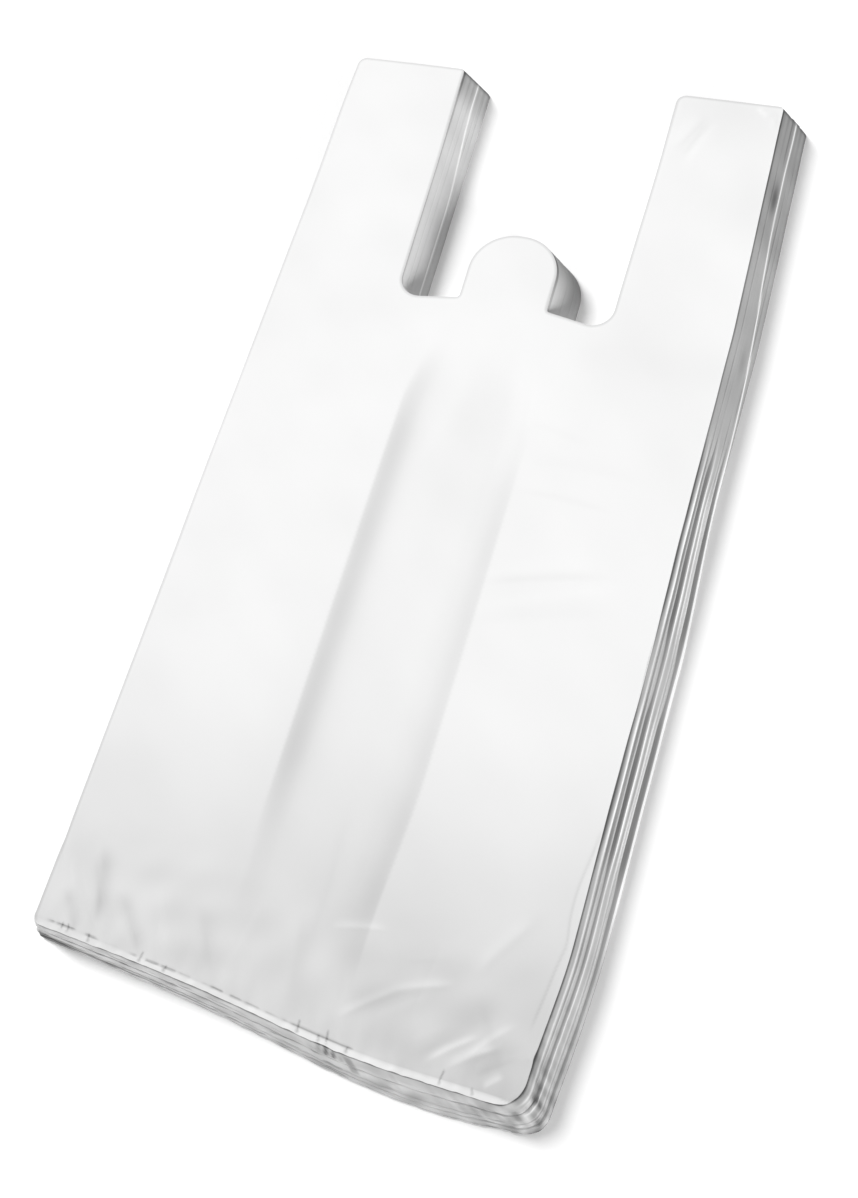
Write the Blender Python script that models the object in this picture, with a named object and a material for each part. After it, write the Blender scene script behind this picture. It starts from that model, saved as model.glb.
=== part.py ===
"""A pad of flat-folded vest carrier bags, lying on its back.

The bags lie in one block: long sides folded, bottom welded, the neck between the two
handles die-cut, and a round tab left standing in the neck, where the bags are welded
together. Each leaf below stands for one run of fold edges that shows on the long sides.
The block has slumped, so each leaf lies a little further right and down than the one
above it. +Y points to the handles, +Z up, and the origin is under the middle of the pad.
"""

import math

import bmesh
import bpy

# Driving dimensions, in metres
BAG_LENGTH = 0.500
BAG_WIDTH = 0.2425
PAD_THICKNESS = 0.012
LEAVES = 6
SLUMP_X = 0.0126
SLUMP_Y = -0.0066

NECK_X = 0.005
NECK_WIDTH = 0.116
NECK_MOUTH_WIDTH = 0.1215
NECK_DEPTH = 0.1455
NECK_RISE = 0.005
TAB_WIDTH = 0.046
TAB_HEIGHT = 0.0405
TAB_LEAN = -0.002
HANDLE_LEAN = 0.004
HANDLE_LEAN_FROM_Y = 0.118

HEM_CORNER_RADIUS = 0.012
HEM_LEFT_RADIUS = 0.006
NECK_CORNER_RADIUS = 0.011
HANDLE_CORNER_RADIUS = 0.005
HANDLE_BEND_RADIUS = 0.400
SMALL_RADIUS = 0.002
TAB_TOP_RADIUS = 0.47 * TAB_WIDTH

FOLD_ROUNDING = 0.0007
LEAF_OVERLAP = 0.0002

TROUGH_WIDTH = 0.076
TROUGH_LENGTH = 0.330
TROUGH_DEPTH = 0.0014
TROUGH_Y = -0.035
CUTTER_LIFT = 0.8

FILM_WHITE = (0.90, 0.90, 0.90, 1.0)
FILM_ROUGHNESS = 0.42

LEAF_PITCH = PAD_THICKNESS / LEAVES


def clear_scene():
    for old in list(bpy.data.objects):
        bpy.data.objects.remove(old, do_unlink=True)


def new_collection(name):
    collection = bpy.data.collections.new(name)
    bpy.context.scene.collection.children.link(collection)
    return collection


def film_material():
    material = bpy.data.materials.new("white_film")
    material.use_nodes = True
    shader = material.node_tree.nodes["Principled BSDF"]
    shader.inputs["Base Color"].default_value = FILM_WHITE
    shader.inputs["Roughness"].default_value = FILM_ROUGHNESS
    shader.inputs["Metallic"].default_value = 0.0
    return material


def arc_at(before, corner, after, radius, steps):
    """The points of an arc that rounds a corner between two straight edges."""
    to_before = (before[0] - corner[0], before[1] - corner[1])
    to_after = (after[0] - corner[0], after[1] - corner[1])
    length_before = math.hypot(*to_before)
    length_after = math.hypot(*to_after)
    u = (to_before[0] / length_before, to_before[1] / length_before)
    v = (to_after[0] / length_after, to_after[1] / length_after)
    half_angle = math.acos(u[0] * v[0] + u[1] * v[1]) / 2
    middle = (u[0] + v[0], u[1] + v[1])
    reach = radius / math.sin(half_angle) / math.hypot(*middle)
    centre = (corner[0] + middle[0] * reach, corner[1] + middle[1] * reach)
    run = radius / math.tan(half_angle)
    start = (corner[0] + u[0] * run, corner[1] + u[1] * run)
    end = (corner[0] + v[0] * run, corner[1] + v[1] * run)
    first = math.atan2(start[1] - centre[1], start[0] - centre[0])
    last = math.atan2(end[1] - centre[1], end[0] - centre[0])
    turn = (last - first + math.pi) % (2 * math.pi) - math.pi
    points = []
    for step in range(steps + 1):
        angle = first + turn * step / steps
        points.append(
            (centre[0] + radius * math.cos(angle), centre[1] + radius * math.sin(angle))
        )
    return points


def bag_outline():
    """The outline of one folded bag, anticlockwise, about the middle of the bag."""
    side = BAG_WIDTH / 2
    end = BAG_LENGTH / 2
    neck_left = NECK_X - NECK_WIDTH / 2
    neck_right = NECK_X + NECK_WIDTH / 2
    mouth_left = neck_right - NECK_MOUTH_WIDTH
    neck_floor = end - NECK_DEPTH
    tab_foot = neck_floor + NECK_RISE
    tab_top = tab_foot + TAB_HEIGHT
    tab_left = NECK_X - TAB_WIDTH / 2
    tab_right = NECK_X + TAB_WIDTH / 2
    corners = [
        (-side, -end, HEM_LEFT_RADIUS, 3),
        (side, -end, HEM_CORNER_RADIUS, 5),
        (side, HANDLE_LEAN_FROM_Y, HANDLE_BEND_RADIUS, 2),
        (side - HANDLE_LEAN, end, SMALL_RADIUS, 2),
        (neck_right, end, HANDLE_CORNER_RADIUS, 3),
        (neck_right, neck_floor, NECK_CORNER_RADIUS, 6),
        (tab_right, tab_foot, SMALL_RADIUS, 2),
        (tab_right + TAB_LEAN, tab_top, TAB_TOP_RADIUS, 7),
        (tab_left + TAB_LEAN, tab_top, TAB_TOP_RADIUS, 7),
        (tab_left, tab_foot, SMALL_RADIUS, 2),
        (neck_left, neck_floor, NECK_CORNER_RADIUS, 6),
        (mouth_left, end, SMALL_RADIUS, 2),
        (-side, end, HANDLE_CORNER_RADIUS, 3),
    ]
    outline = []
    for index, (x, y, radius, steps) in enumerate(corners):
        before = corners[index - 1][:2]
        after = corners[(index + 1) % len(corners)][:2]
        outline += arc_at(before, (x, y), after, radius, steps)
    return outline


def leaf(name, outline, centre, thickness, material, collection):
    """One leaf: the outline as a flat 2D curve with rounded fold edges, made a mesh."""
    curve = bpy.data.curves.new(name + "_outline", "CURVE")
    curve.dimensions = "2D"
    curve.fill_mode = "BOTH"
    curve.extrude = thickness / 2 - FOLD_ROUNDING
    curve.bevel_depth = FOLD_ROUNDING
    curve.bevel_resolution = 1
    curve.offset = -FOLD_ROUNDING
    spline = curve.splines.new("POLY")
    spline.points.add(len(outline) - 1)
    for point, (x, y) in zip(spline.points, outline):
        point.co = (x, y, 0.0, 1.0)
    spline.use_cyclic_u = True

    guide = bpy.data.objects.new(name + "_guide", curve)
    collection.objects.link(guide)
    guide.location = centre
    bpy.context.view_layer.update()
    evaluated = guide.evaluated_get(bpy.context.evaluated_depsgraph_get())
    mesh = bpy.data.meshes.new_from_object(evaluated)
    cage = bmesh.new()
    cage.from_mesh(mesh)
    bmesh.ops.remove_doubles(cage, verts=cage.verts, dist=0.00001)
    bmesh.ops.recalc_face_normals(cage, faces=cage.faces)
    cage.to_mesh(mesh)
    cage.free()
    mesh.name = name

    solid = bpy.data.objects.new(name, mesh)
    solid.matrix_world = guide.matrix_world.copy()
    collection.objects.link(solid)
    mesh.materials.clear()
    mesh.materials.append(material)
    bpy.data.objects.remove(guide, do_unlink=True)
    bpy.data.curves.remove(curve)
    return solid


def hide_helper(helper):
    helper.hide_render = True
    helper.display_type = "WIRE"


def trough_cutter(collection):
    """A flat ellipsoid that presses the shallow trough between the two gusset creases."""
    height = TROUGH_DEPTH / (1 - CUTTER_LIFT)
    reach = math.sqrt(1 - CUTTER_LIFT**2)
    cage = bmesh.new()
    bmesh.ops.create_uvsphere(cage, u_segments=32, v_segments=32, radius=1.0)
    scale = (TROUGH_WIDTH / 2 / reach, TROUGH_LENGTH / 2 / reach, height)
    bmesh.ops.scale(cage, verts=cage.verts, vec=scale)
    mesh = bpy.data.meshes.new("trough_cutter")
    cage.to_mesh(mesh)
    cage.free()
    cutter = bpy.data.objects.new("trough_cutter", mesh)
    top_x, top_y = leaf_place(LEAVES - 1)
    cutter.location = (
        top_x,
        top_y + TROUGH_Y,
        PAD_THICKNESS + CUTTER_LIFT * height,
    )
    collection.objects.link(cutter)
    hide_helper(cutter)
    return cutter


def leaf_place(index):
    """The middle of a leaf, counted from the bottom of the pad."""
    share = 0.5 - index / (LEAVES - 1)
    return SLUMP_X * share, SLUMP_Y * share


def build_pad():
    parts = new_collection("carrier_bag_pad")
    inner_leaves = new_collection("joined_leaves")
    cutters = new_collection("cutters")
    material = film_material()
    outline = bag_outline()

    pad = None
    for index in range(LEAVES):
        x, y = leaf_place(index)
        low = index * LEAF_PITCH
        high = low + LEAF_PITCH
        if index < LEAVES - 1:
            high += LEAF_OVERLAP
        centre = (x, y, (low + high) / 2)
        home = inner_leaves if index else parts
        name = f"leaf_{index}" if index else "bag_pad"
        solid = leaf(name, outline, centre, high - low, material, home)
        if index:
            hide_helper(solid)
        else:
            pad = solid

    join = pad.modifiers.new("join_leaves", "BOOLEAN")
    join.operation = "UNION"
    join.operand_type = "COLLECTION"
    join.collection = inner_leaves
    join.solver = "EXACT"

    press = pad.modifiers.new("press_trough", "BOOLEAN")
    press.operation = "DIFFERENCE"
    press.object = trough_cutter(cutters)
    press.solver = "EXACT"
    return pad


clear_scene()
build_pad()
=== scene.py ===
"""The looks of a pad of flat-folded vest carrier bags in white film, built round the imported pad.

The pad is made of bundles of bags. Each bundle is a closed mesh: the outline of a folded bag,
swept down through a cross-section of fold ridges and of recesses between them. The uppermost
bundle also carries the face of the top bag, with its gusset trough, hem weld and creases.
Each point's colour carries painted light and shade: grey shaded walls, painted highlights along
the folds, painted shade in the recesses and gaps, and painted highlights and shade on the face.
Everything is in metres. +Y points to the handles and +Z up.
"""

import math

import bpy
import numpy as np
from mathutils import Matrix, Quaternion, Vector
from mathutils.geometry import delaunay_2d_cdt


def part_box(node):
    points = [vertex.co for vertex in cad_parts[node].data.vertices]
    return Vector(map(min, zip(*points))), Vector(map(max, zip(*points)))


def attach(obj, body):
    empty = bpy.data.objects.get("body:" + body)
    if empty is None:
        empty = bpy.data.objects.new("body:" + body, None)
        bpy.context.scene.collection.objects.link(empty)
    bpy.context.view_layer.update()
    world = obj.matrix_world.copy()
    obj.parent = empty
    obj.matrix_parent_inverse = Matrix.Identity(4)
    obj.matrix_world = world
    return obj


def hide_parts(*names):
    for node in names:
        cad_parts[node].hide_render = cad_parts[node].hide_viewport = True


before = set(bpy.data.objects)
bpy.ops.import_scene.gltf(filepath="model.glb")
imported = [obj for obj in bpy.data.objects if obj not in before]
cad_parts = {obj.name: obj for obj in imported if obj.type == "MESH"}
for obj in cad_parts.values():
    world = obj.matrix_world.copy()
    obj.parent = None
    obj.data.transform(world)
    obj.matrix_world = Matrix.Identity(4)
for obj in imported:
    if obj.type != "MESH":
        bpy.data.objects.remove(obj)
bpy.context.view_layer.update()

PAD = "bag_pad"

# The folded bag, about its own middle
BAG_LENGTH = 0.500
BAG_WIDTH = 0.2425
NECK_X = 0.005
NECK_WIDTH = 0.1150
NECK_MOUTH_WIDTH = 0.1200
NECK_DEPTH = 0.1455
NECK_RISE = 0.005
TAB_WIDTH = 0.0475
TAB_HEIGHT = 0.0410
TAB_LEAN = -0.0005
HANDLE_LEAN = 0.004
HANDLE_LEAN_FROM_Y = 0.118
HEM_CORNER_RADIUS = 0.012
HEM_LEFT_RADIUS = 0.004
NECK_CORNER_RADIUS = 0.011
HANDLE_CORNER_RADIUS = 0.005
HANDLE_BEND_RADIUS = 0.400
SMALL_RADIUS = 0.002
TAB_TOP_RADIUS = 0.47 * TAB_WIDTH
HEM_BOW = 0.0045
HEM_BOW_X = 0.042
HEM_BOW_WIDTH = 0.062

# How far the lowest bags have slumped, fanned out, sagged and spread past the top one, and how
# far the top one draws back from the hem's right corner
SLUMP_X = 0.0126
SLUMP_Y = -0.0066
SLUMP_X_PER_Y = 0.0108
SLUMP_Y_PER_Y = 0.0104
HEM_FAN = 0.0130
HEM_SAG = 0.0045
SPREAD_RIGHT = 0.0036
CORNER_PULL = 0.0046
# Where each of these fades in, from none of it to all of it
NEAR_HEM_Y = (-0.205, -0.245)
FAN_FROM_LEFT = (0.036, 0.0)
SAG_X = (-0.115, 0.110)
LESS_SAG_X = (0.070, 0.120)
RIGHT_X = (0.050, 0.118)
SPREAD_Y = (0.045, -0.045)
LESS_SPREAD_Y = (-0.170, -0.250)
PULL_Y = (-0.180, -0.246)

# How far apart the points of the meshes are: the outline, the face, its finer part towards the
# hem and beside the loose film edge, and the strip along the hem
OUTLINE_STEP = 0.0013
FACE_STEP = 0.0015
FINE_STEP = 0.0010
FINE_BELOW = -0.180
EDGE_STEP = 0.0008
LOOSE_RIGHT_OF = 0.109
LOOSE_BELOW = -0.120
HEM_STRIP = 0.0062
HEM_STEP = 0.00065
NEAR_CELL = 0.002
SHARP_DEGREES = 40

# Bundles of bags, from the top: the height of the lower face, how far the fold at its upper
# edge stands out, and how deep the recess under it is
BUNDLES = (
    ("bags_2", 0.0072, 0.00035, 0.0014),
    ("bags_3", 0.0039, 0.00060, 0.0004),
    ("bags_4", 0.0024, 0.00055, 0.0012),
    ("bags_5", 0.0000, 0.00080, 0.0000),
)
TOP_BUNDLE_LOW = 0.0091
TOP_BAG_THICKNESS = 0.00065
# The rows of points down a bundle's wall, as shares of its height, and down the top bundle's
ROW_SHARES = (0, 0.03, 0.07, 0.12, 0.18, 0.25, 0.34, 0.46, 0.58, 0.68, 0.77, 0.85, 0.93, 1)
TOP_ROWS_MM = (
    (0.0, 0.04, 0.12, 0.22, 0.34, 0.46, 0.60, 0.75, 0.90)
    + (1.10, 1.30, 1.50, 1.75, 2.00, 2.25, 2.50, 2.70, 2.90)
)
# The rings round the face, inside its edge
EDGE_INSET = 0.0017
MIDDLE_INSET = 0.0011
RIM_INSET = 0.0005
# Where the recesses open along the body's sides: from, to, how softly, and how far
OPEN_RIGHT = ((-0.020, 0.050, 0.030, 1.0), (-0.130, -0.085, 0.025, 0.9))
OPEN_LEFT = ((-0.090, 0.010, 0.035, 1.0), (-0.190, -0.160, 0.030, 0.8))
RECESS_CLOSED = 0.16

# Painted lines along the body's long walls, from the face (0) to the floor (1): painted highlights
# along the folds and painted shade in the gaps; the place, half the width, and how much whiter or
# darker than the wall
WALL_HIGHLIGHT_AND_SHADE_LINES = (
    (0.165, 0.050, 0.66),
    (0.290, 0.028, 0.18),
    (0.385, 0.036, -0.10),
    (0.480, 0.050, 0.66),
    (0.670, 0.046, 0.66),
    (0.780, 0.034, -0.03),
)
# The painted highlight of the broadest white fold: how far down the wall it runs at its lower end
# and at the handles' tips, on the long sides and in the neck
FOLD_HIGHLIGHT_ON_SIDE = (0.925, 0.525)
FOLD_HIGHLIGHT_IN_NECK = (0.72, 0.53)
FOLD_HIGHLIGHT_TONE = 0.62
# Darker patches on the right handle's wall: along Y and its reach, down the wall and its reach,
# strength
DARK_PATCHES = ((0.199, 0.009, 0.36, 0.12, 1.0), (0.108, 0.009, 0.56, 0.14, 0.5))
# Broken weld lines on the hem's wall: how far down, and the seed of the breaks
HEM_LINES = ((0.22, 91), (0.42, 92), (0.63, 93), (0.84, 94))

# How white things are, as a share of the film's own colour; the walls' and the hem wall's
# grey is painted shade
SHADED_WALL_TONE = 0.36
SHADED_HEM_TONE = 0.61
FACE_TONE = 0.865
# The edge's darker tone is painted shade along the face's rim, the rim's whiter tone a painted
# highlight
EDGE_SHADE_TONE = 0.80
RIM_HIGHLIGHT_TONE = 1.02
DARKEST_WALL = 0.08
WHITEST_WALL = 1.05

# How much whiter than the walls' painted shade, where less of it is painted: the neck, the tab at
# its foot, the lower half of the handle and the body where its recesses are shut
NECK_TONE = 0.34
TAB_TONE = 0.37
LOW_HANDLE_TONE = 0.08
SHUT_BODY_TONE = 0.16
# How much darker: the patches on the right handle's wall, and painted shade on the tab towards its
# top and at the foot of the cut walls
DARK_PATCH_TONE = 0.20
TAB_TOP_TONE = 0.42
CUT_FOOT_TONE = 0.14
# How much darker the face is: beside each gusset crease and over the whole trough (the film's own
# grey where fewer films lie under it, with painted shade on the trough's slopes), down the lower
# half, towards the hem (and more so for each metre to the right), on the weld and on its ticks
LEFT_CREASE_TONE = 0.170
RIGHT_CREASE_TONE = 0.130
TROUGH_TONE = 0.025
LOWER_HALF_TONE = 0.025
BY_HEM_TONE = 0.225
BY_HEM_TONE_PER_X = 0.50
WELD_TONE = 0.400
TICK_TONE = 0.300
# How much whiter the strip outside the weld is (and more so for each metre to the right)
STRIP_TONE = 0.130
STRIP_TONE_PER_X = 0.8

# The gusset creases: where they lie across the bag
GUSSET_LEFT_X = -0.0305
GUSSET_RIGHT_X = 0.0385
TROUGH_DEPTH = 0.0008
# How much steeper a crease's sharp side is than its gentle side
SHARP_SIDE = 0.45
# Short cuts and puckers across the hem's weld
HEM_TICKS = (-0.106, -0.102, -0.091, -0.064, -0.051, 0.017, 0.0275, 0.031, 0.040, 0.084, 0.100)

FILM_COLOUR = (0.95, 0.95, 0.95, 1.0)
FILM_IOR = 1.5
FILM_SPECULAR = 0.06
FILM_ROUGHNESS = (0.44, 0.60)
FILM_SUBSURFACE = 0.10
FILM_SUBSURFACE_REACH = 0.0015
CLOUD_TONES = (0.985, 1.005)
STREAK_SCALE = (420.0, 26.0, 2600.0)
STREAK_BUMP = 0.12
GRAIN_SCALE = 900.0
GRAIN_BUMP = 0.08
BUMP_DISTANCE = 0.0002

WHITE = (1.0, 1.0, 1.0, 1.0)
FLOOR_COLOUR = (0.95, 0.95, 0.95, 1.0)
FLOOR_SIZE = 6.0
FLOOR_ROUGHNESS = 0.9
FLOOR_SPECULAR = 0.1
FLOOR_GLOW = 0.06

# Lamps far off, as even as a studio's soft boxes: azimuth, elevation, strength and softness
KEY = (150.0, 26.5, 4.43, 13.0)
FILL = (-35.0, 10.0, 2.8, 16.0)
AMBIENT = 0.36

CAMERA_PLACE = (0.1180, -0.1443, 0.4464)
CAMERA_AIM = (0.0058, -0.0455, 0.0)
CAMERA_ROLL = -32.6
CAMERA_LENS = 28.68


def ease(low, high, value):
    """0 below low and 1 above high, with a smooth step between; low may be above high."""
    share = np.clip((value - low) / (high - low), 0.0, 1.0)
    return share * share * (3 - 2 * share)


def between(value, low, high, soft):
    """1 between low and high, fading to 0 over soft on each side."""
    return ease(low - soft, low, value) * (1 - ease(high, high + soft, value))


def hill(value, middle, width):
    """1 at the middle, fading to 0 on both sides."""
    return np.exp(-(((value - middle) / width) ** 2))


def waves(x, y, wavelength, amplitude, seed, count=7, stretch=1.0):
    """A smooth random surface: a seeded sum of sine waves. stretch lengthens it along Y."""
    rng = np.random.default_rng(seed)
    total = np.zeros(np.broadcast(x, y).shape)
    for _ in range(count):
        angle = rng.uniform(0, 2 * math.pi)
        number = 2 * math.pi / (wavelength * rng.uniform(0.65, 1.5))
        phase = rng.uniform(0, 2 * math.pi)
        total += np.sin(
            number * (x * math.cos(angle) + y / stretch * math.sin(angle)) + phase
        )
    return amplitude * total / math.sqrt(count)


# ---------------------------------------------------------------- outline


def arc_at(before, corner, after, radius, step):
    """The points of an arc that rounds a corner between two straight edges."""
    u = (before - corner) / np.linalg.norm(before - corner)
    v = (after - corner) / np.linalg.norm(after - corner)
    half_angle = math.acos(float(u @ v)) / 2
    middle = (u + v) / np.linalg.norm(u + v)
    centre = corner + middle * radius / math.sin(half_angle)
    run = radius / math.tan(half_angle)
    start = corner + u * run - centre
    end = corner + v * run - centre
    first = math.atan2(start[1], start[0])
    turn = (math.atan2(end[1], end[0]) - first + math.pi) % (2 * math.pi) - math.pi
    steps = max(2, int(abs(turn) * radius / step))
    angles = first + turn * np.arange(steps + 1) / steps
    return centre + radius * np.stack([np.cos(angles), np.sin(angles)], axis=1)


def hem_bow(x):
    """How far the hem bulges out, right of its middle."""
    return HEM_BOW * hill(x, HEM_BOW_X, HEM_BOW_WIDTH) * ease(-0.115, -0.060, x)


def bag_outline():
    """The outline of one folded bag, anticlockwise, with a point every OUTLINE_STEP."""
    side = BAG_WIDTH / 2
    end = BAG_LENGTH / 2
    neck_left = NECK_X - NECK_WIDTH / 2
    neck_right = NECK_X + NECK_WIDTH / 2
    mouth_left = neck_right - NECK_MOUTH_WIDTH
    neck_floor = end - NECK_DEPTH
    tab_foot = neck_floor + NECK_RISE
    tab_top = tab_foot + TAB_HEIGHT
    tab_left = NECK_X - TAB_WIDTH / 2
    tab_right = NECK_X + TAB_WIDTH / 2
    corners = [
        (-side, -end, HEM_LEFT_RADIUS),
        (side, -end, HEM_CORNER_RADIUS),
        (side, HANDLE_LEAN_FROM_Y, HANDLE_BEND_RADIUS),
        (side - HANDLE_LEAN, end, SMALL_RADIUS),
        (neck_right, end, HANDLE_CORNER_RADIUS),
        (neck_right, neck_floor, NECK_CORNER_RADIUS),
        (tab_right, tab_foot, SMALL_RADIUS),
        (tab_right + TAB_LEAN, tab_top, TAB_TOP_RADIUS),
        (tab_left + TAB_LEAN, tab_top, TAB_TOP_RADIUS),
        (tab_left, tab_foot, SMALL_RADIUS),
        (neck_left, neck_floor, NECK_CORNER_RADIUS),
        (mouth_left, end, SMALL_RADIUS),
        (-side, end, HANDLE_CORNER_RADIUS),
    ]
    places = [np.array(corner[:2]) for corner in corners]
    coarse = []
    for index, corner in enumerate(corners):
        after = places[(index + 1) % len(places)]
        coarse.append(
            arc_at(places[index - 1], places[index], after, corner[2], OUTLINE_STEP / 2)
        )
    coarse = np.concatenate(coarse)
    closed = np.vstack([coarse, coarse[:1]])
    run = np.concatenate([[0], np.cumsum(np.linalg.norm(np.diff(closed, axis=0), axis=1))])
    count = int(run[-1] / OUTLINE_STEP)
    wanted = np.arange(count) * run[-1] / count
    points = np.stack([np.interp(wanted, run, closed[:, k]) for k in (0, 1)], axis=1)
    points[:, 1] -= hem_bow(points[:, 0]) * ease(-0.20, -0.24, points[:, 1])
    return points, wanted


def outward(points):
    """The direction that points out of the outline, at each of its points."""
    along = np.roll(points, -1, axis=0) - np.roll(points, 1, axis=0)
    along /= np.linalg.norm(along, axis=1, keepdims=True)
    return np.stack([along[:, 1], -along[:, 0]], axis=1)


OUTLINE, RUN = bag_outline()
NORMAL = outward(OUTLINE)
X, Y = OUTLINE.T
INSET = OUTLINE - NORMAL * EDGE_INSET
# 1 along one stretch of the outline, and 0 elsewhere
AT_SIDE = ease(0.6, 0.95, np.abs(NORMAL[:, 0])) * (np.abs(X) > 0.1)
AT_HEM = ease(0.5, 0.95, -NORMAL[:, 1])
AT_END = ease(0.5, 0.95, NORMAL[:, 1]) * (Y > 0.24)
AT_TAB = (np.abs(X - NECK_X) < TAB_WIDTH * 0.55) * (Y > 0.1) * (Y < 0.2)
AT_CUT = np.clip(1 - AT_SIDE - AT_HEM - AT_END, 0, 1)
ON_BODY = AT_SIDE * ease(0.075, 0.025, Y)
HEM_LEFT_CORNER = np.exp(-np.hypot(X + BAG_WIDTH / 2, Y + BAG_LENGTH / 2) / 0.016)
HEM_RIGHT_CORNER = np.exp(-((np.hypot(X - BAG_WIDTH / 2, Y + BAG_LENGTH / 2) / 0.030) ** 2))


def slumped(x, y, z, thickness):
    """Where a point of the bag lies once the pad has slumped: lower bags stand out.

    At the left end of the hem the lower bags fan out the other way, so the wall thins there,
    and at its right end they sag further. Along the body's right side the lower bags stand
    out more than on the handle, and the upper ones draw back from the hem's right corner.
    """
    below = 1 - z / thickness
    near_hem = ease(*NEAR_HEM_Y, y)
    fan = ease(*FAN_FROM_LEFT, x + BAG_WIDTH / 2) * near_hem
    sag = (ease(*SAG_X, x) - 0.3 * ease(*LESS_SAG_X, x)) * near_hem
    at_right = ease(*RIGHT_X, x)
    spread = SPREAD_RIGHT * at_right * (ease(*SPREAD_Y, y) - 0.75 * ease(*LESS_SPREAD_Y, y))
    pull = CORNER_PULL * at_right * ease(*PULL_Y, y) * (1 - below)
    return (
        x
        - SLUMP_X / 2
        - pull
        + below * (SLUMP_X + SLUMP_X_PER_Y * y - HEM_FAN * fan + spread),
        y - SLUMP_Y / 2 + below * (SLUMP_Y + SLUMP_Y_PER_Y * y - HEM_SAG * sag),
    )


# ---------------------------------------------------------------- walls


def along_edge(wavelength, amplitude, seed, across=0.0):
    """Waves along the outline; across moves on to the waves beside them."""
    return waves(RUN, 0 * RUN + across, wavelength, amplitude, seed)


def recess_strength(seed):
    """How far the recesses between the groups of bags open along the outline."""
    open_right, open_left = (
        sum(share * between(Y, low, high, soft) for low, high, soft, share in runs)
        for runs in (OPEN_RIGHT, OPEN_LEFT)
    )
    opened = np.where(X > 0, open_right, open_left)
    drift = 1 + along_edge(0.045, 0.18, seed)
    return ON_BODY * np.clip((RECESS_CLOSED + (1 - RECESS_CLOSED) * opened) * drift, 0, 1.2)


def stray(seed, share):
    """How far the edge of one bundle wanders out of line, along the outline."""
    slow = along_edge(0.160, 0.00018, seed)
    side = along_edge(0.035, 0.00007, seed + 1)
    crumple = along_edge(0.011, 0.00022, seed + 2) + along_edge(0.004, 0.00010, seed + 3)
    cut = along_edge(0.050, 0.00004, seed + 4)
    return share * (
        AT_SIDE * (slow + side) + AT_HEM * 0.6 * (slow + crumple) + (AT_CUT + AT_END) * cut
    )


def ring(offset, height, thickness, lift=0.0):
    """The outline pushed out by offset, at a height, slumped with the pad."""
    flat = OUTLINE + NORMAL * np.asarray(offset).reshape(-1, 1)
    z = np.full(len(flat), height) + lift
    x, y = slumped(flat[:, 0], flat[:, 1], z, thickness)
    return np.stack([x, y, z], axis=1)


def fold_highlight_place():
    """Where the painted highlight of the broadest white fold lies, between the face (0) and the
    floor (1).

    It runs along the foot of the body's wall and climbs on the handles.
    """
    side_low, side_high = FOLD_HIGHLIGHT_ON_SIDE
    neck_low, neck_high = FOLD_HIGHLIGHT_IN_NECK
    outer = side_low + (side_high - side_low) * ease(0.050, 0.210, Y)
    inner = neck_low + (neck_high - neck_low) * ease(0.165, 0.240, Y)
    return np.where(AT_SIDE > 0.5, outer, inner) + along_edge(0.060, 0.003, 83)


def wall_shade(z, thickness):
    """How white the wall is at a height, in painted light and shade: painted highlights along
    folds, painted shade in the gaps between them.
    """
    down = 1 - z / thickness
    opened = recess_strength(82)
    closed = 1 - np.clip(opened, 0, 1)
    wander = along_edge(0.050, 0.008, 84)
    low_body = ease(-0.140, -0.185, Y)
    # The walls' painted shade, lighter on the hem's wall
    hem_wall = AT_HEM * (SHADED_HEM_TONE - SHADED_WALL_TONE)
    shade = SHADED_WALL_TONE + hem_wall + along_edge(0.030, 0.018, 81, across=2 * z)
    # Painted highlights along the folds and painted shade in the gaps between them
    for place, width, size in WALL_HIGHLIGHT_AND_SHADE_LINES:
        lines = hill(down, place + wander, width * (0.6 + 0.4 * opened))
        shade += size * ON_BODY * (0.30 + 0.70 * opened) * lines
    neck = AT_CUT * (1 - AT_TAB)
    # The broadest fold's painted highlight, on the long sides and in the neck
    fold = hill(down, fold_highlight_place(), 0.022 + 0.048 * ON_BODY)
    shade += FOLD_HIGHLIGHT_TONE * (AT_SIDE + 0.75 * neck) * fold * (1 - 0.9 * low_body)
    # Less painted shade in the neck, fading at the handles' tips, and on the lower half of the
    # handle
    shade += NECK_TONE * neck * (1 - 0.7 * ease(0.225, 0.245, Y))
    shade += LOW_HANDLE_TONE * AT_SIDE * (1 - ON_BODY) * ease(0.190, 0.150, Y)
    # Painted shade at the foot of the lower body's wall, and less of the walls' painted shade
    # where its recesses are shut
    shade -= 0.16 * ON_BODY * low_body * ease(0.94, 0.985, down)
    shade += SHUT_BODY_TONE * ON_BODY * closed
    # Painted shade towards the handles' tips, in fine bands of light and shade
    tips = ease(0.215, 0.250, Y) * (AT_SIDE + neck)
    shade += tips * (-0.05 + 0.035 * np.cos(2 * math.pi * down / 0.17))
    # Darker patches on the right handle's wall
    for middle, reach, place, depth, strength in DARK_PATCHES:
        dark_patch = strength * hill(Y, middle, reach) * hill(down, place, depth)
        shade -= DARK_PATCH_TONE * AT_SIDE * dark_patch
    # Painted shade on the tab's wall, lighter at its foot and darker towards its top, and at the
    # foot of the cut walls
    shade += AT_TAB * AT_CUT * (TAB_TONE - TAB_TOP_TONE * ease(0.112, 0.148, Y))
    shade -= CUT_FOOT_TONE * (AT_CUT + AT_SIDE * (1 - ON_BODY)) * ease(0.88, 1.0, down)
    # Painted shade along the end line at the handles' tips
    end_shade_line = ease(0.2468, 0.2488, Y) * (AT_SIDE + neck)
    return shade * (1 - 0.65 * end_shade_line)


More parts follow.
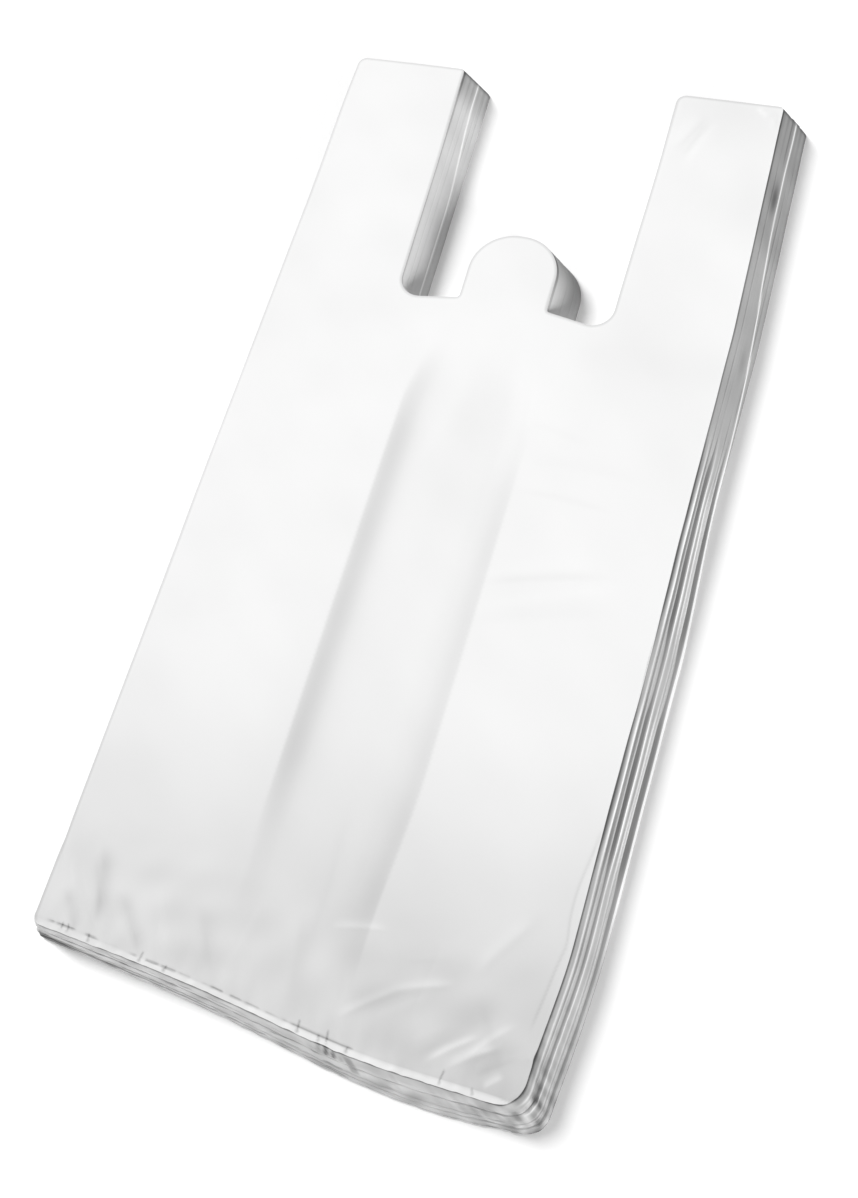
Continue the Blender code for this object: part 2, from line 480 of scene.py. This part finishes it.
def hem_shade(z, thickness):
    """The marks on the hem's wall: broken weld lines, ticks across it and a dark seam; with
    painted shade at its foot and at its left corner, and painted light and shade on the right
    corner's crinkles.
    """
    down = 1 - z / thickness
    shade = np.zeros(len(X))
    for place, seed in HEM_LINES:
        broken = ease(0.1, 0.9, along_edge(0.020, 1.0, seed))
        line = hill(down, place + along_edge(0.020, 0.02, seed + 5), 0.028)
        shade -= 0.26 * broken * line * ease(0.08, 0.03, X)
    ticks = ease(1.0, 1.7, along_edge(0.007, 1.0, 95))
    shade -= 0.22 * ticks * between(down, 0.15, 0.50, 0.15)
    seam = hill(X, 0.031, 0.005) * (0.5 + 0.5 * np.sin(X / 0.0006 + 14 * down))
    shade -= 0.45 * seam * between(down, 0.02, 0.30, 0.10)
    shade += waves(X, 0 * X + 0.03 * down, 0.012, 0.06, 96)
    # Painted shade towards the hem wall's foot
    shade -= 0.06 * ease(0.4, 0.8, down) + 0.20 * ease(0.86, 0.98, down)
    # Painted shade in the gap at the hem's left corner
    shade -= 0.50 * hill(X, -BAG_WIDTH / 2, 0.016) * ease(0.3, 0.9, down)
    # Painted light and shade on the crinkles at the hem's right corner, darker there overall
    crinkle_light_and_shade = along_edge(0.0075, 0.12, 97, across=0.012 * down) - 0.12
    return AT_HEM * shade + HEM_RIGHT_CORNER * crinkle_light_and_shade


def bundle_rows(low, high, ridge, recess, seed, thickness):
    """The rings of one bundle's wall, from top to bottom, and the painted light and shade of each.
    """
    rings = []
    shades = []
    opened = recess_strength(seed)
    wander = stray(seed, 1.0)
    ridges = ridge * ON_BODY + 0.00005 * (1 - ON_BODY)
    corner = HEM_RIGHT_CORNER * along_edge(0.0058, 0.00032, seed + 8)
    for share in ROW_SHARES:
        height = high + (low - high) * share
        down = 1 - height / thickness
        under = ease(0.45, 1.0, share)
        bulge = math.sin(math.pi * share)
        taper = (HEM_LEFT_CORNER * 0.0020 + HEM_RIGHT_CORNER * 0.0022) * down
        tuck = 0.0004 * ease(0.0008, 0.0, height)
        ruffle = AT_HEM * along_edge(0.009, 0.00008, seed + 7, across=0.02 * share)
        offset = (
            wander
            + ridges * hill(share, 0.13, 0.13)
            - opened * recess * under
            - (AT_HEM * 0.0003 + ON_BODY * 0.0001) * under
            + (ruffle + corner) * bulge
            - taper
            - tuck
        )
        rings.append(ring(offset, height, thickness))
        shade = wall_shade(height, thickness) + hem_shade(height, thickness)
        shades.append(np.clip(shade, DARKEST_WALL, WHITEST_WALL))
    return rings, shades


# ---------------------------------------------------------------- the top bag's face


def gusset_left(y):
    """Where the left gusset crease lies; it drifts inwards near the neck."""
    return GUSSET_LEFT_X + 0.0045 * ease(0.045, 0.085, y)


def gusset_right(y):
    """Where the right gusset crease lies; it drifts inwards near the neck and the hem."""
    return GUSSET_RIGHT_X - 0.0075 * ease(0.035, 0.105, y) - 0.0040 * ease(-0.13, -0.21, y)


def trough(x, y):
    """The dip between the gusset creases, where a bag is two films thick and not four."""
    left = ease(0.0, 0.013, x - gusset_left(y))
    right = ease(0.0, 0.014, gusset_right(y) - x)
    along = between(y, -0.175, 0.050, 0.055)
    middle = 0.40 * hill(x, 0.002 + 0 * y, 0.012)
    return -TROUGH_DEPTH * along * left * right * (1 - middle)


# Creases in the face: from, to, how wide the gentle side is, and the height
CREASES = (
    # the hem's right corner
    ((0.080, -0.246), (0.108, -0.228), 0.0060, 0.00045),
    ((0.068, -0.244), (0.094, -0.226), 0.0050, 0.00035),
    ((0.030, -0.241), (0.056, -0.221), 0.0060, 0.00050),
    ((0.048, -0.226), (0.080, -0.211), 0.0050, 0.00040),
    ((0.044, -0.237), (0.068, -0.219), 0.0050, -0.00035),
    ((0.092, -0.214), (0.115, -0.242), 0.0060, -0.00050),
    ((0.084, -0.206), (0.106, -0.170), 0.0080, 0.00045),
    ((0.018, -0.206), (0.044, -0.200), 0.0030, 0.00022),
    ((0.098, -0.244), (0.116, -0.230), 0.0030, 0.00040),
    # the hem's left corner
    ((-0.101, -0.212), (-0.088, -0.239), 0.0050, -0.00060),
    ((-0.085, -0.226), (-0.063, -0.246), 0.0050, -0.00050),
    ((-0.111, -0.234), (-0.096, -0.249), 0.0040, -0.00040),
    ((-0.066, -0.214), (-0.048, -0.246), 0.0060, 0.00025),
    ((-0.040, -0.222), (-0.026, -0.246), 0.0050, -0.00022),
    # the right handle's tip
    ((0.068, 0.216), (0.079, 0.240), 0.0040, 0.00034),
    ((0.074, 0.206), (0.085, 0.238), 0.0050, -0.00026),
    ((0.104, 0.2475), (0.112, 0.242), 0.0020, 0.00040),
    ((0.110, 0.2475), (0.116, 0.236), 0.0020, 0.00030),
    # across the body, right of the trough
    ((0.040, 0.014), (0.088, 0.013), 0.0050, 0.00014),
    ((0.035, -0.036), (0.096, -0.017), 0.0050, 0.00022),
    ((0.030, -0.051), (0.104, -0.021), 0.0070, -0.00018),
    ((0.032, 0.048), (0.060, 0.040), 0.0050, 0.00012),
    # down the trough
    ((0.002, 0.070), (-0.010, 0.010), 0.0100, 0.00016),
    ((0.010, -0.150), (0.012, -0.225), 0.0060, -0.00022),
)
def crease(x, y, start, end, width, height):
    """One crease: a soft ridge, or a groove where height is below 0, that fades at its ends."""
    start = np.array(start)
    run = np.array(end) - start
    length = np.linalg.norm(run)
    run = run / length
    along = (x - start[0]) * run[0] + (y - start[1]) * run[1]
    across = -(x - start[0]) * run[1] + (y - start[1]) * run[0]
    bend = 0.02 * length * np.sin(math.pi * np.clip(along / length, 0, 1))
    fade = between(along, 0.3 * length, 0.7 * length, 0.35 * length)
    side = np.where(across > bend, width, SHARP_SIDE * width)
    return height * fade * np.exp(-(((across - bend) / side) ** 2))


def scattered_creases(x, y, seed, count, centre, spread, angle, turn, length, height):
    """Short creases round one place on the face, all roughly along one direction."""
    rng = np.random.default_rng(seed)
    total = np.zeros_like(x)
    for _ in range(count):
        middle = np.array(centre) + rng.normal(0, 1, 2) * spread
        heading = math.radians(angle + rng.normal(0, turn))
        reach = length * rng.uniform(0.5, 1.4) / 2
        step = np.array([math.cos(heading), math.sin(heading)]) * reach
        width = rng.uniform(0.0018, 0.0046)
        size = height * rng.uniform(0.4, 1.0) * rng.choice([-1, 1])
        total += crease(x, y, middle - step, middle + step, width, size)
    return total


def from_hem(x, y):
    """How far from the hem's bowed edge a point of the face lies."""
    return y + BAG_LENGTH / 2 + hem_bow(x)


def weld_line(x):
    """How far from the hem its weld runs."""
    return 0.0030 + waves(x, 0 * x, 0.09, 0.0003, 61)


def weld_dashes(x):
    """Where the pressed weld line shows: in broken runs, most of them on the left."""
    runs = ease(0.030, -0.030, x) * ease(-0.7, 0.2, waves(x, 0 * x, 0.040, 1.0, 65))
    runs = runs + 0.8 * between(x, 0.012, 0.044, 0.004)
    breaks = ease(-0.9, -0.1, waves(x, 0 * x, 0.0065, 1.0, 62))
    return 0.04 + 0.96 * np.clip(runs, 0, 1) * breaks


def hem_ticks(x, away):
    """Short cuts and puckers across the weld."""
    total = 0 * x
    for index, place in enumerate(HEM_TICKS):
        slant = 0.25 * math.sin(5.0 * index)
        reach = 0.0042 + 0.0018 * math.sin(3.0 * index)
        total = total + hill(x - slant * away, place, 0.00045) * between(
            away, 0.0010, reach, 0.0010
        )
    return total


def hem_weld(x, y):
    """The weld along the hem: a thin pressed line, and the puckered strip outside it."""
    away = from_hem(x, y)
    groove = -0.00035 * weld_dashes(x) * hill(away, weld_line(x), 0.0006)
    pucker = (1 - ease(0.001, 0.0060, away)) * waves(x, y, 0.0075, 0.00014, 63)
    gathers = hill(away, 0.009, 0.007) * waves(x, 0.12 * y, 0.008, 0.00006, 64)
    return groove + pucker + gathers


def face_height(x, y):
    """How far the top bag's face stands above or below its flat height."""
    swell = waves(x, y, 0.150, 0.00024, 41) + waves(x, y, 0.055, 0.00006, 42, stretch=1.8)
    height = swell + trough(x, y) + hem_weld(x, y)
    for start, end, width, size in CREASES:
        height += crease(x, y, start, end, width, size)
    height += scattered_creases(
        x, y, 51, 6, (0.086, -0.226), (0.022, 0.012), 36, 12, 0.040, 0.00022
    )
    height += scattered_creases(
        x, y, 52, 5, (-0.098, -0.226), (0.014, 0.010), -62, 14, 0.030, 0.00018
    )
    height += scattered_creases(
        x, y, 55, 8, (0.000, -0.226), (0.045, 0.010), -70, 22, 0.034, 0.00012
    )
    return height


def clouds(x, y):
    """Soft patches, where the film lies closer to the bags below it or further off."""
    broad = waves(x, y, 0.090, 0.010, 44, stretch=1.6) + waves(x, y, 0.035, 0.006, 45)
    handle = -0.050 * hill(x, 0.114, 0.013) * hill(y, 0.192, 0.024)
    handle = handle - 0.050 * ease(0.212, 0.246, y) * ease(0.02, 0.09, x)
    root = -0.025 * between(x, 0.060, 0.115, 0.020) * hill(y, 0.092, 0.012)
    patches = waves(x, y, 0.024, 0.022, 46) * ease(-0.18, -0.225, y)
    centre = 0.022 * hill(x, 0.005, 0.030) * hill(y, 0.085, 0.022)
    return broad + handle + root + centre + patches


# Bright streaks on the face, where a crease's gentle side turns to the light: from, to, width
STREAKS = (
    ((0.084, -0.246), (0.107, -0.229), 0.0024, 0.17),
    ((0.075, -0.246), (0.097, -0.228), 0.0020, 0.16),
    ((0.092, -0.240), (0.110, -0.219), 0.0020, 0.09),
    ((0.031, -0.242), (0.056, -0.221), 0.0022, 0.10),
    ((0.050, -0.224), (0.079, -0.212), 0.0024, 0.10),
    ((0.017, -0.207), (0.044, -0.200), 0.0020, 0.08),
    ((0.084, -0.206), (0.103, -0.176), 0.0040, 0.05),
    ((0.104, -0.2475), (0.112, -0.240), 0.0020, 0.14),
    ((0.104, 0.2470), (0.110, 0.242), 0.0016, 0.06),
    ((0.070, 0.219), (0.079, 0.238), 0.0018, 0.035),
)
# and painted shade in the folds beside them
FOLD_SHADES = (
    ((0.074, -0.238), (0.104, -0.216), 0.0070, -0.045),
    ((0.096, -0.246), (0.116, -0.226), 0.0050, -0.045),
    ((-0.100, -0.206), (-0.090, -0.240), 0.0050, -0.110),
    ((-0.084, -0.224), (-0.064, -0.247), 0.0042, -0.090),
    ((-0.112, -0.230), (-0.097, -0.249), 0.0040, -0.080),
    ((-0.044, -0.216), (-0.030, -0.244), 0.0060, -0.045),
    ((0.034, -0.238), (0.064, -0.215), 0.0070, -0.060),
    ((0.004, -0.204), (0.010, -0.244), 0.0060, -0.045),
    ((0.074, 0.212), (0.083, 0.236), 0.0016, -0.035),
    ((0.036, -0.038), (0.098, -0.020), 0.0024, -0.026),
    ((0.033, -0.058), (0.104, -0.036), 0.0060, -0.016),
    ((0.040, 0.012), (0.090, 0.011), 0.0020, -0.018),
    ((0.036, 0.028), (0.104, 0.030), 0.0050, -0.012),
    ((0.034, 0.048), (0.070, 0.042), 0.0030, -0.014),
)


def streaks(x, y):
    """How much whiter or darker the painted highlights of the streaks and the painted shade of the
    folds make the face.
    """
    total = 0 * x
    for start, end, width, tone in STREAKS + FOLD_SHADES:
        total = total + crease(x, y, start, end, width, tone)
    return total


def loose_edge(x, y):
    """The edge of a loose film that shows on the face along its right-hand side."""
    place = 0.1203 - 0.0034 * ease(-0.130, -0.165, y) + 0.0014 * hill(y, -0.182, 0.008)
    place = place - 0.0010 * ease(-0.190, -0.225, y)
    run = between(y, -0.212, -0.138, 0.010)
    beyond = ease(0.0, 0.0008, x - place)
    return run * (0.020 * beyond - 0.095 * hill(x, place, 0.0006))


def face_shade(x, y):
    """How white the face is: greyer where there are two films below it and not four, with painted
    shade on the trough's slopes beside the gusset creases and painted highlights and shade on
    creases.
    """
    from_left = x - gusset_left(y)
    from_right = gusset_right(y) - x
    left_band = hill(from_left, 0.003, 0.0090) * ease(-0.0010, 0.0008, from_left)
    right_band = hill(from_right, 0.002, 0.0100) * ease(-0.0010, 0.0008, from_right)
    left_run = between(y, -0.130, 0.020, 0.060)
    right_run = 0.85 * ease(0.055, -0.020, y) + 0.05 * ease(-0.060, -0.160, y)
    right_run = right_run * ease(-0.235, -0.190, y)
    inside = ease(0.0, 0.004, from_left) * ease(0.0, 0.004, from_right)
    trough_run = between(y, -0.190, 0.055, 0.030)
    away = from_hem(x, y)
    strip = 1 - ease(0.0020, 0.0030, away)
    weld = weld_dashes(x) * hill(away, weld_line(x), 0.00045)
    lower = ease(-0.090, -0.250, y)
    return FACE_TONE * (
        1
        + clouds(x, y)
        + streaks(x, y)
        + loose_edge(x, y)
        # Painted shade on the trough's slopes, with the film's own grey where fewer films lie
        # under it
        - LEFT_CREASE_TONE * left_band * left_run
        - RIGHT_CREASE_TONE * right_band * right_run
        - TROUGH_TONE * inside * trough_run
        - LOWER_HALF_TONE * ease(0.0, -0.150, y)
        - (BY_HEM_TONE + BY_HEM_TONE_PER_X * x) * lower
        + (STRIP_TONE + STRIP_TONE_PER_X * x) * strip
        - WELD_TONE * weld
        - TICK_TONE * hem_ticks(x, away)
    )


# ---------------------------------------------------------------- meshes


def walls(rows, count):
    """The quads between the rings of a wall, ring 0 at the top."""
    here = np.arange(count)
    after = np.roll(here, -1)
    faces = []
    for row in range(rows - 1):
        top = row * count
        low = top + count
        faces.append(np.stack([low + here, low + after, top + after, top + here], axis=1))
    return np.concatenate(faces).tolist()


def cap(points, upward, inner=None):
    """Triangles that fill a ring, and the points that lie inside it, if any are given."""
    count = len(points)
    flat = [Vector(p) for p in points[:, :2].tolist()]
    if inner is not None:
        flat += [Vector(p) for p in inner.tolist()]
    result = delaunay_2d_cdt(flat, [], [list(range(count))], 1, 1e-9)
    origin = [ids[0] for ids in result[3]]
    faces = [[origin[i] for i in face] for face in result[2]]
    return faces if upward else [face[::-1] for face in faces]


def piece(name, points, faces, shades, material):
    """One of the pad's bundles: a mesh that carries how white each of its points is, painted light
    and shade included.
    """
    mesh = bpy.data.meshes.new(name)
    mesh.from_pydata(points.tolist(), [], faces)
    mesh.validate()
    shade = mesh.attributes.new("shade", "FLOAT", "POINT")
    shade.data.foreach_set("value", np.asarray(shades, np.float32))
    mesh.shade_smooth()
    mesh.set_sharp_from_angle(angle=math.radians(SHARP_DEGREES))
    mesh.materials.append(material)
    made = bpy.data.objects.new(name, mesh)
    bpy.context.scene.collection.objects.link(made)
    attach(made, "root")
    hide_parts(PAD)
    return made


def lower_bundle(name, low, high, ridge, recess, seed, thickness, material):
    """A bundle below the uppermost one: its wall, closed by a flat cap above and below."""
    rings, shades = bundle_rows(low, high, ridge, recess, seed, thickness)
    count = len(OUTLINE)
    faces = walls(len(rings), count)
    faces += cap(rings[0], True)
    last = (len(rings) - 1) * count
    faces += [[last + i for i in face] for face in cap(rings[-1], False)]
    return piece(name, np.concatenate(rings), faces, np.concatenate(shades), material)


def lattice(x_low, x_high, y_low, y_high, step):
    """Points in staggered rows."""
    grid_x, grid_y = np.meshgrid(
        np.arange(x_low, x_high, step), np.arange(y_low, y_high, 0.94 * step)
    )
    grid_x[::2] += step / 2
    return np.stack([grid_x.ravel(), grid_y.ravel()], axis=1)


def inside_ring(points, ring_points):
    """Which points lie inside a ring: those with an odd number of its edges to their right."""
    inside = np.zeros(len(points), bool)
    for (x0, y0), (x1, y1) in zip(ring_points, np.roll(ring_points, -1, axis=0)):
        if y0 == y1:
            continue
        crosses = (points[:, 1] >= min(y0, y1)) & (points[:, 1] < max(y0, y1))
        at = x0 + (points[:, 1] - y0) * (x1 - x0) / (y1 - y0)
        inside ^= crosses & (points[:, 0] < at)
    return inside


def near_ring(points, ring_points, reach):
    """Which points lie within reach of a ring's own points."""
    near = np.zeros(len(points), bool)
    cells = {}
    for index, (x, y) in enumerate(points):
        cells.setdefault((int(x // NEAR_CELL), int(y // NEAR_CELL)), []).append(index)
    for x, y in ring_points:
        column, row = int(x // NEAR_CELL), int(y // NEAR_CELL)
        for i in (column - 1, column, column + 1):
            for j in (row - 1, row, row + 1):
                for index in cells.get((i, j), ()):
                    dx = points[index, 0] - x
                    dy = points[index, 1] - y
                    near[index] |= dx * dx + dy * dy < reach**2
    return near


def face_lattice():
    """Points inside the outline, clear of its edge, and closer together near the hem."""
    side = BAG_WIDTH / 2
    end = BAG_LENGTH / 2
    broad = lattice(-side, side, FINE_BELOW, end, FACE_STEP)
    beside = (broad[:, 0] > LOOSE_RIGHT_OF - FACE_STEP / 2) & (broad[:, 1] < LOOSE_BELOW)
    fine = lattice(-side, side, -end, FINE_BELOW, FINE_STEP)
    strip = lattice(-side, side, 0.0, HEM_STRIP, HEM_STEP)
    strip[:, 1] -= end + hem_bow(strip[:, 0])
    points = np.vstack(
        [
            broad[~beside],
            lattice(LOOSE_RIGHT_OF, side, FINE_BELOW, LOOSE_BELOW, EDGE_STEP),
            fine[from_hem(*fine.T) > HEM_STRIP],
            strip,
        ]
    )
    points = points[inside_ring(points, INSET)]
    return points[~near_ring(points, INSET, 0.6 * HEM_STEP)]


def top_bundle(thickness, material):
    """The uppermost bundle, with the face of the top bag and the thin gap under its edge."""
    opened = recess_strength(71)
    wander = stray(72, 0.6)
    rounding = 0.00012 * AT_SIDE + 0.00004
    # The face's rim: a painted highlight along the right side and the hem, painted shade along the
    # other edges
    highlit_rim = np.clip(AT_HEM + AT_SIDE * (X > 0), 0, 1)
    rim_light_and_shade = EDGE_SHADE_TONE + (RIM_HIGHLIGHT_TONE - EDGE_SHADE_TONE) * highlit_rim
    face_rings = (
        (EDGE_INSET, 1.0),
        (MIDDLE_INSET, 0.5 + 0.5 * rim_light_and_shade),
        (RIM_INSET, rim_light_and_shade),
    )
    rings = []
    shades = []
    for inset, tone in face_rings:
        place = OUTLINE - NORMAL * inset
        lift = face_height(*place.T)
        rings.append(ring(-inset, thickness, thickness, lift))
        shades.append(tone * face_shade(*place.T))
    edge_lift = face_height(X, Y)
    dark = 0.00042 + 0.00026 * opened
    for down_mm in TOP_ROWS_MM:
        down = down_mm / 1000
        share = np.clip(down / rounding, 0, 1)
        round_off = rounding * (1 - np.sqrt(1 - (1 - share) ** 2))
        gap = between(down, 0.0002, 0.0002 + dark, 0.00012)
        crest = hill(down, 0.0018, 0.0004)
        below = ease(0.0022, 0.0029, down)
        offset = (
            wander
            - round_off
            - gap * (0.0005 * AT_SIDE + 0.0003 * AT_HEM + 0.00020 * AT_CUT)
            + ON_BODY * 0.00025 * crest
            - opened * 0.0004 * below
        )
        fade = 1 - ease(0.0, TOP_BAG_THICKNESS, down)
        rings.append(ring(offset, thickness - down, thickness, edge_lift * fade))
        shade = wall_shade(thickness - down, thickness) + hem_shade(thickness - down, thickness)
        # Painted shade in the thin gap under the top bag's edge
        line = 0.24 * AT_SIDE + 0.16 * ON_BODY * (1 - np.clip(opened, 0, 1))
        shade -= gap * (line + 0.35 * AT_HEM + 0.22 * AT_CUT)
        shades.append(np.clip(shade, DARKEST_WALL, WHITEST_WALL))
    shades[len(face_rings)] = rim_light_and_shade * face_shade(X, Y)
    count = len(OUTLINE)
    inner = face_lattice()
    inner_height = thickness + face_height(inner[:, 0], inner[:, 1])
    inner_x, inner_y = slumped(inner[:, 0], inner[:, 1], thickness, thickness)
    inner_points = np.stack([inner_x, inner_y, inner_height], axis=1)
    start = len(rings) * count
    faces = walls(len(rings), count)
    for face in cap(rings[0], True, inner_points[:, :2]):
        faces.append([i if i < count else start + i - count for i in face])
    last = (len(rings) - 1) * count
    faces += [[last + i for i in face] for face in cap(rings[-1], False)]
    shades.append(face_shade(inner[:, 0], inner[:, 1]))
    points = np.concatenate(rings + [inner_points])
    return piece("bags_1", points, faces, np.concatenate(shades), material)


# ---------------------------------------------------------------- material


def noise(tree, vector, scale, detail):
    """Noise from 0 to 1 at a place."""
    made = tree.nodes.new("ShaderNodeTexNoise")
    made.inputs["Scale"].default_value = scale
    made.inputs["Detail"].default_value = detail
    tree.links.new(vector, made.inputs["Vector"])
    return made.outputs["Fac"]


def spread_over(tree, value, from_range, to_range):
    """A value moved from one range to another."""
    made = tree.nodes.new("ShaderNodeMapRange")
    made.inputs["From Min"].default_value = from_range[0]
    made.inputs["From Max"].default_value = from_range[1]
    made.inputs["To Min"].default_value = to_range[0]
    made.inputs["To Max"].default_value = to_range[1]
    tree.links.new(value, made.inputs["Value"])
    return made.outputs["Result"]


def bump(tree, height, strength, normal=None):
    """The surface's direction, tilted by the slope of a height."""
    made = tree.nodes.new("ShaderNodeBump")
    made.inputs["Strength"].default_value = strength
    made.inputs["Distance"].default_value = BUMP_DISTANCE
    tree.links.new(height, made.inputs["Height"])
    if normal is not None:
        tree.links.new(normal, made.inputs["Normal"])
    return made.outputs["Normal"]


def film_material():
    """White polyethylene film: softly glossy, a little grainy, streaked the way it was drawn."""
    material = bpy.data.materials.new("white_film")
    material.use_nodes = True
    tree = material.node_tree
    shader = tree.nodes["Principled BSDF"]
    shader.inputs["Metallic"].default_value = 0.0
    shader.inputs["IOR"].default_value = FILM_IOR
    shader.inputs["Specular IOR Level"].default_value = FILM_SPECULAR
    shader.inputs["Subsurface Weight"].default_value = FILM_SUBSURFACE
    shader.inputs["Subsurface Radius"].default_value = (1.0, 1.0, 1.0)
    shader.inputs["Subsurface Scale"].default_value = FILM_SUBSURFACE_REACH
    place = tree.nodes.new("ShaderNodeTexCoord").outputs["Object"]

    # The base colour follows each point's painted light and shade
    shade = tree.nodes.new("ShaderNodeAttribute")
    shade.attribute_name = "shade"
    cloud = spread_over(tree, noise(tree, place, 14.0, 3.0), (0.3, 0.7), CLOUD_TONES)
    tone = tree.nodes.new("ShaderNodeMath")
    tone.operation = "MULTIPLY"
    tree.links.new(shade.outputs["Fac"], tone.inputs[0])
    tree.links.new(cloud, tone.inputs[1])
    colour = tree.nodes.new("ShaderNodeMix")
    colour.data_type = "RGBA"
    colour.inputs["A"].default_value = (0.0, 0.0, 0.0, 1.0)
    colour.inputs["B"].default_value = FILM_COLOUR
    tree.links.new(tone.outputs["Value"], colour.inputs["Factor"])
    tree.links.new(colour.outputs["Result"], shader.inputs["Base Color"])

    gloss = spread_over(tree, noise(tree, place, 60.0, 4.0), (0.0, 1.0), FILM_ROUGHNESS)
    tree.links.new(gloss, shader.inputs["Roughness"])

    drawn = tree.nodes.new("ShaderNodeMapping")
    drawn.inputs["Scale"].default_value = STREAK_SCALE
    tree.links.new(place, drawn.inputs["Vector"])
    streaked = bump(tree, noise(tree, drawn.outputs["Vector"], 1.0, 2.0), STREAK_BUMP)
    grained = bump(tree, noise(tree, place, GRAIN_SCALE, 2.0), GRAIN_BUMP, streaked)
    tree.links.new(grained, shader.inputs["Normal"])
    return material


# ---------------------------------------------------------------- stage, light and camera


def floor():
    """The pale floor that the pad lies on."""
    bpy.ops.mesh.primitive_plane_add(size=FLOOR_SIZE, location=(0, 0, 0))
    plane = bpy.context.object
    plane.name = "floor"
    material = bpy.data.materials.new("pale_floor")
    material.use_nodes = True
    shader = material.node_tree.nodes["Principled BSDF"]
    shader.inputs["Base Color"].default_value = FLOOR_COLOUR
    shader.inputs["Roughness"].default_value = FLOOR_ROUGHNESS
    shader.inputs["Specular IOR Level"].default_value = FLOOR_SPECULAR
    shader.inputs["Emission Color"].default_value = WHITE
    shader.inputs["Emission Strength"].default_value = FLOOR_GLOW
    plane.data.materials.append(material)


def lamp(name, azimuth, elevation, strength, softness):
    """A lamp far off. Softness is how wide it looks, in degrees."""
    light = bpy.data.lights.new(name, "SUN")
    light.energy = strength
    light.angle = math.radians(softness)
    made = bpy.data.objects.new(name, light)
    turn = math.radians(azimuth)
    rise = math.radians(elevation)
    level = math.cos(rise)
    from_lamp = -Vector((level * math.cos(turn), level * math.sin(turn), math.sin(rise)))
    made.rotation_euler = from_lamp.to_track_quat("-Z", "Y").to_euler()
    bpy.context.scene.collection.objects.link(made)


def lights():
    lamp("key", *KEY)
    lamp("fill", *FILL)
    world = bpy.data.worlds.new("studio")
    world.use_nodes = True
    background = world.node_tree.nodes["Background"]
    background.inputs["Color"].default_value = WHITE
    background.inputs["Strength"].default_value = AMBIENT
    bpy.context.scene.world = world
    bpy.context.scene.view_settings.view_transform = "Standard"


def camera():
    data = bpy.data.cameras.new("camera")
    data.lens = CAMERA_LENS
    data.sensor_width = 36.0
    data.sensor_fit = "AUTO"
    data.clip_start = 0.01
    made = bpy.data.objects.new("camera", data)
    made.location = CAMERA_PLACE
    aim = (Vector(CAMERA_AIM) - Vector(CAMERA_PLACE)).to_track_quat("-Z", "Y")
    roll = Quaternion((0, 0, 1), math.radians(CAMERA_ROLL))
    made.rotation_euler = (aim @ roll).to_euler()
    bpy.context.scene.collection.objects.link(made)
    bpy.context.scene.camera = made


def build():
    """The pad's bundles, from the top down."""
    pad_low, pad_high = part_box(PAD)
    thickness = pad_high[2] - pad_low[2]
    material = film_material()
    top_bundle(thickness, material)
    high = TOP_BUNDLE_LOW
    for index, (name, low, ridge, recess) in enumerate(BUNDLES):
        seed = 100 + 20 * index
        lower_bundle(name, low, high, ridge, recess, seed, thickness, material)
        high = low


camera()
lights()
floor()
build()
